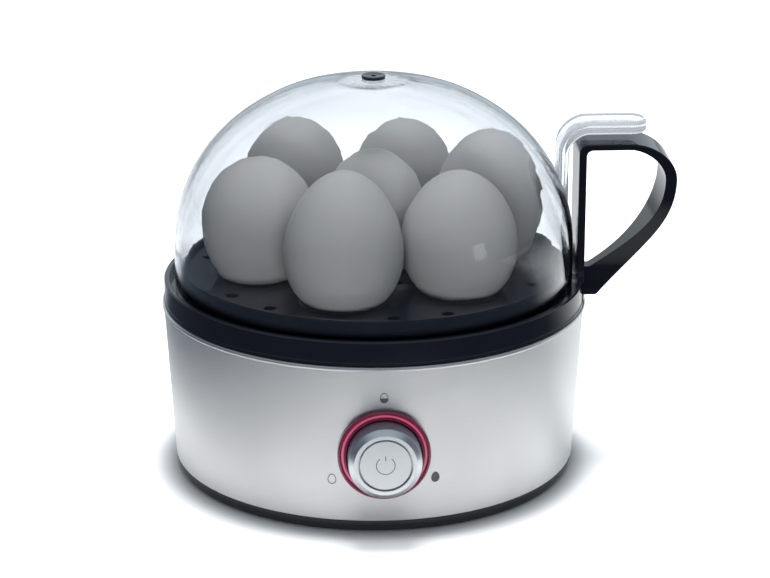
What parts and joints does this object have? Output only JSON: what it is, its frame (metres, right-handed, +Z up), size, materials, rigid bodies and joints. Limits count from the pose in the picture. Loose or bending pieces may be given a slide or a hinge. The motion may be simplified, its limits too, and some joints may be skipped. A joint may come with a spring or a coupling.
{
  "type": "egg boiler",
  "caption": "Round steel-bodied worktop egg boiler with a front knob and button, a black egg tray with a loop handle, and a clear dome lid with its own grip.",
  "frame": {"origin": "on the body's axis, on the plane that the feet stand on", "axes": "+Z up, -Y towards the knob at the front, +X towards the tray's handle"},
  "size_m": [0.2168, 0.1908, 0.1695],
  "materials": {
    "steel": "satin brushed stainless steel",
    "tray_plastic": "glossy black polypropylene",
    "base_plastic": "satin black moulding",
    "inner_plastic": "heat-resistant black moulding",
    "clear": "clear tinted polycarbonate dome",
    "clear_handle": "clear moulded grip",
    "vent_plastic": "dark slate plastic",
    "light_ring": "translucent red",
    "knob_metal": "satin turned aluminium",
    "button_metal": "satin disc with an engraved power mark",
    "rubber": "soft black rubber",
    "silicone": "red silicone",
    "zinc": "zinc-plated steel",
    "stainless": "stainless screw",
    "dish_steel": "pressed stainless steel",
    "sheath": "oxidised sheath",
    "spreader": "cast aluminium",
    "shield": "aluminised sheet",
    "phenolic": "dark phenolic",
    "nylon": "natural nylon",
    "fuse": "tinned can",
    "board": "green printed board",
    "led": "small lamp",
    "relay": "blue sealed case",
    "core": "laminated core, taped coil",
    "can": "sleeved can"
  },
  "bodies": {
    "base": {"base_pan": "base_plastic", "rubber_feet": "rubber", "pan_screws": "zinc", "steel_housing": "steel", "inner_body": "inner_plastic", "water_dish": "dish_steel", "dish_gasket": "silicone", "dish_clamps": "zinc", "clamp_nuts": "zinc", "heating_element": "sheath", "heat_spreader": "spreader", "thermostat": "phenolic", "thermostat_plate": "zinc", "thermostat_screws": "zinc", "thermal_fuse": "fuse", "fuse_clip": "zinc", "heat_shield": "shield", "light_ring": "light_ring", "rotary_pot": "phenolic", "push_switch": "phenolic", "control_bracket": "inner_plastic", "bracket_screws": "zinc", "control_board": "board", "board_screws": "zinc", "indicator_leds": "led", "power_board": "board", "power_board_screws": "zinc", "relay": "relay", "transformer": "core", "smoothing_capacitor": "can", "buzzer": "phenolic", "terminal_block": "nylon", "outlet_bush": "base_plastic"},
    "tray": {"egg_tray": "tray_plastic", "tray_handle": "tray_plastic", "handle_screws": "stainless"},
    "lid": {"lid_dome": "clear", "lid_handle": "clear_handle", "steam_vent": "vent_plastic"},
    "knob": {"knob_shell": "knob_metal", "knob_hub": "inner_plastic", "pot_rotor": "phenolic"},
    "button": {"push_button": "button_metal", "switch_plunger": "nylon"}
  },
  "joints": [
    {"name": "tray_lift", "type": "slide", "parent": "base", "child": "tray", "axis": [0, 0, 1], "range_m": [0, 0.07]},
    {"name": "lid_lift", "type": "slide", "parent": "tray", "child": "lid", "axis": [0, 0, 1], "range_m": [0, 0.095]},
    {"name": "knob_turn", "type": "hinge", "parent": "base", "child": "knob", "pos_m": [0, -0.088, 0.0358], "axis": [0, 1, 0], "range_deg": [-120, 120]},
    {"name": "button_press", "type": "slide", "parent": "base", "child": "button", "axis": [0, 1, 0], "range_m": [0, 0.0015], "stiffness_N_per_m": 1500}
  ]
}
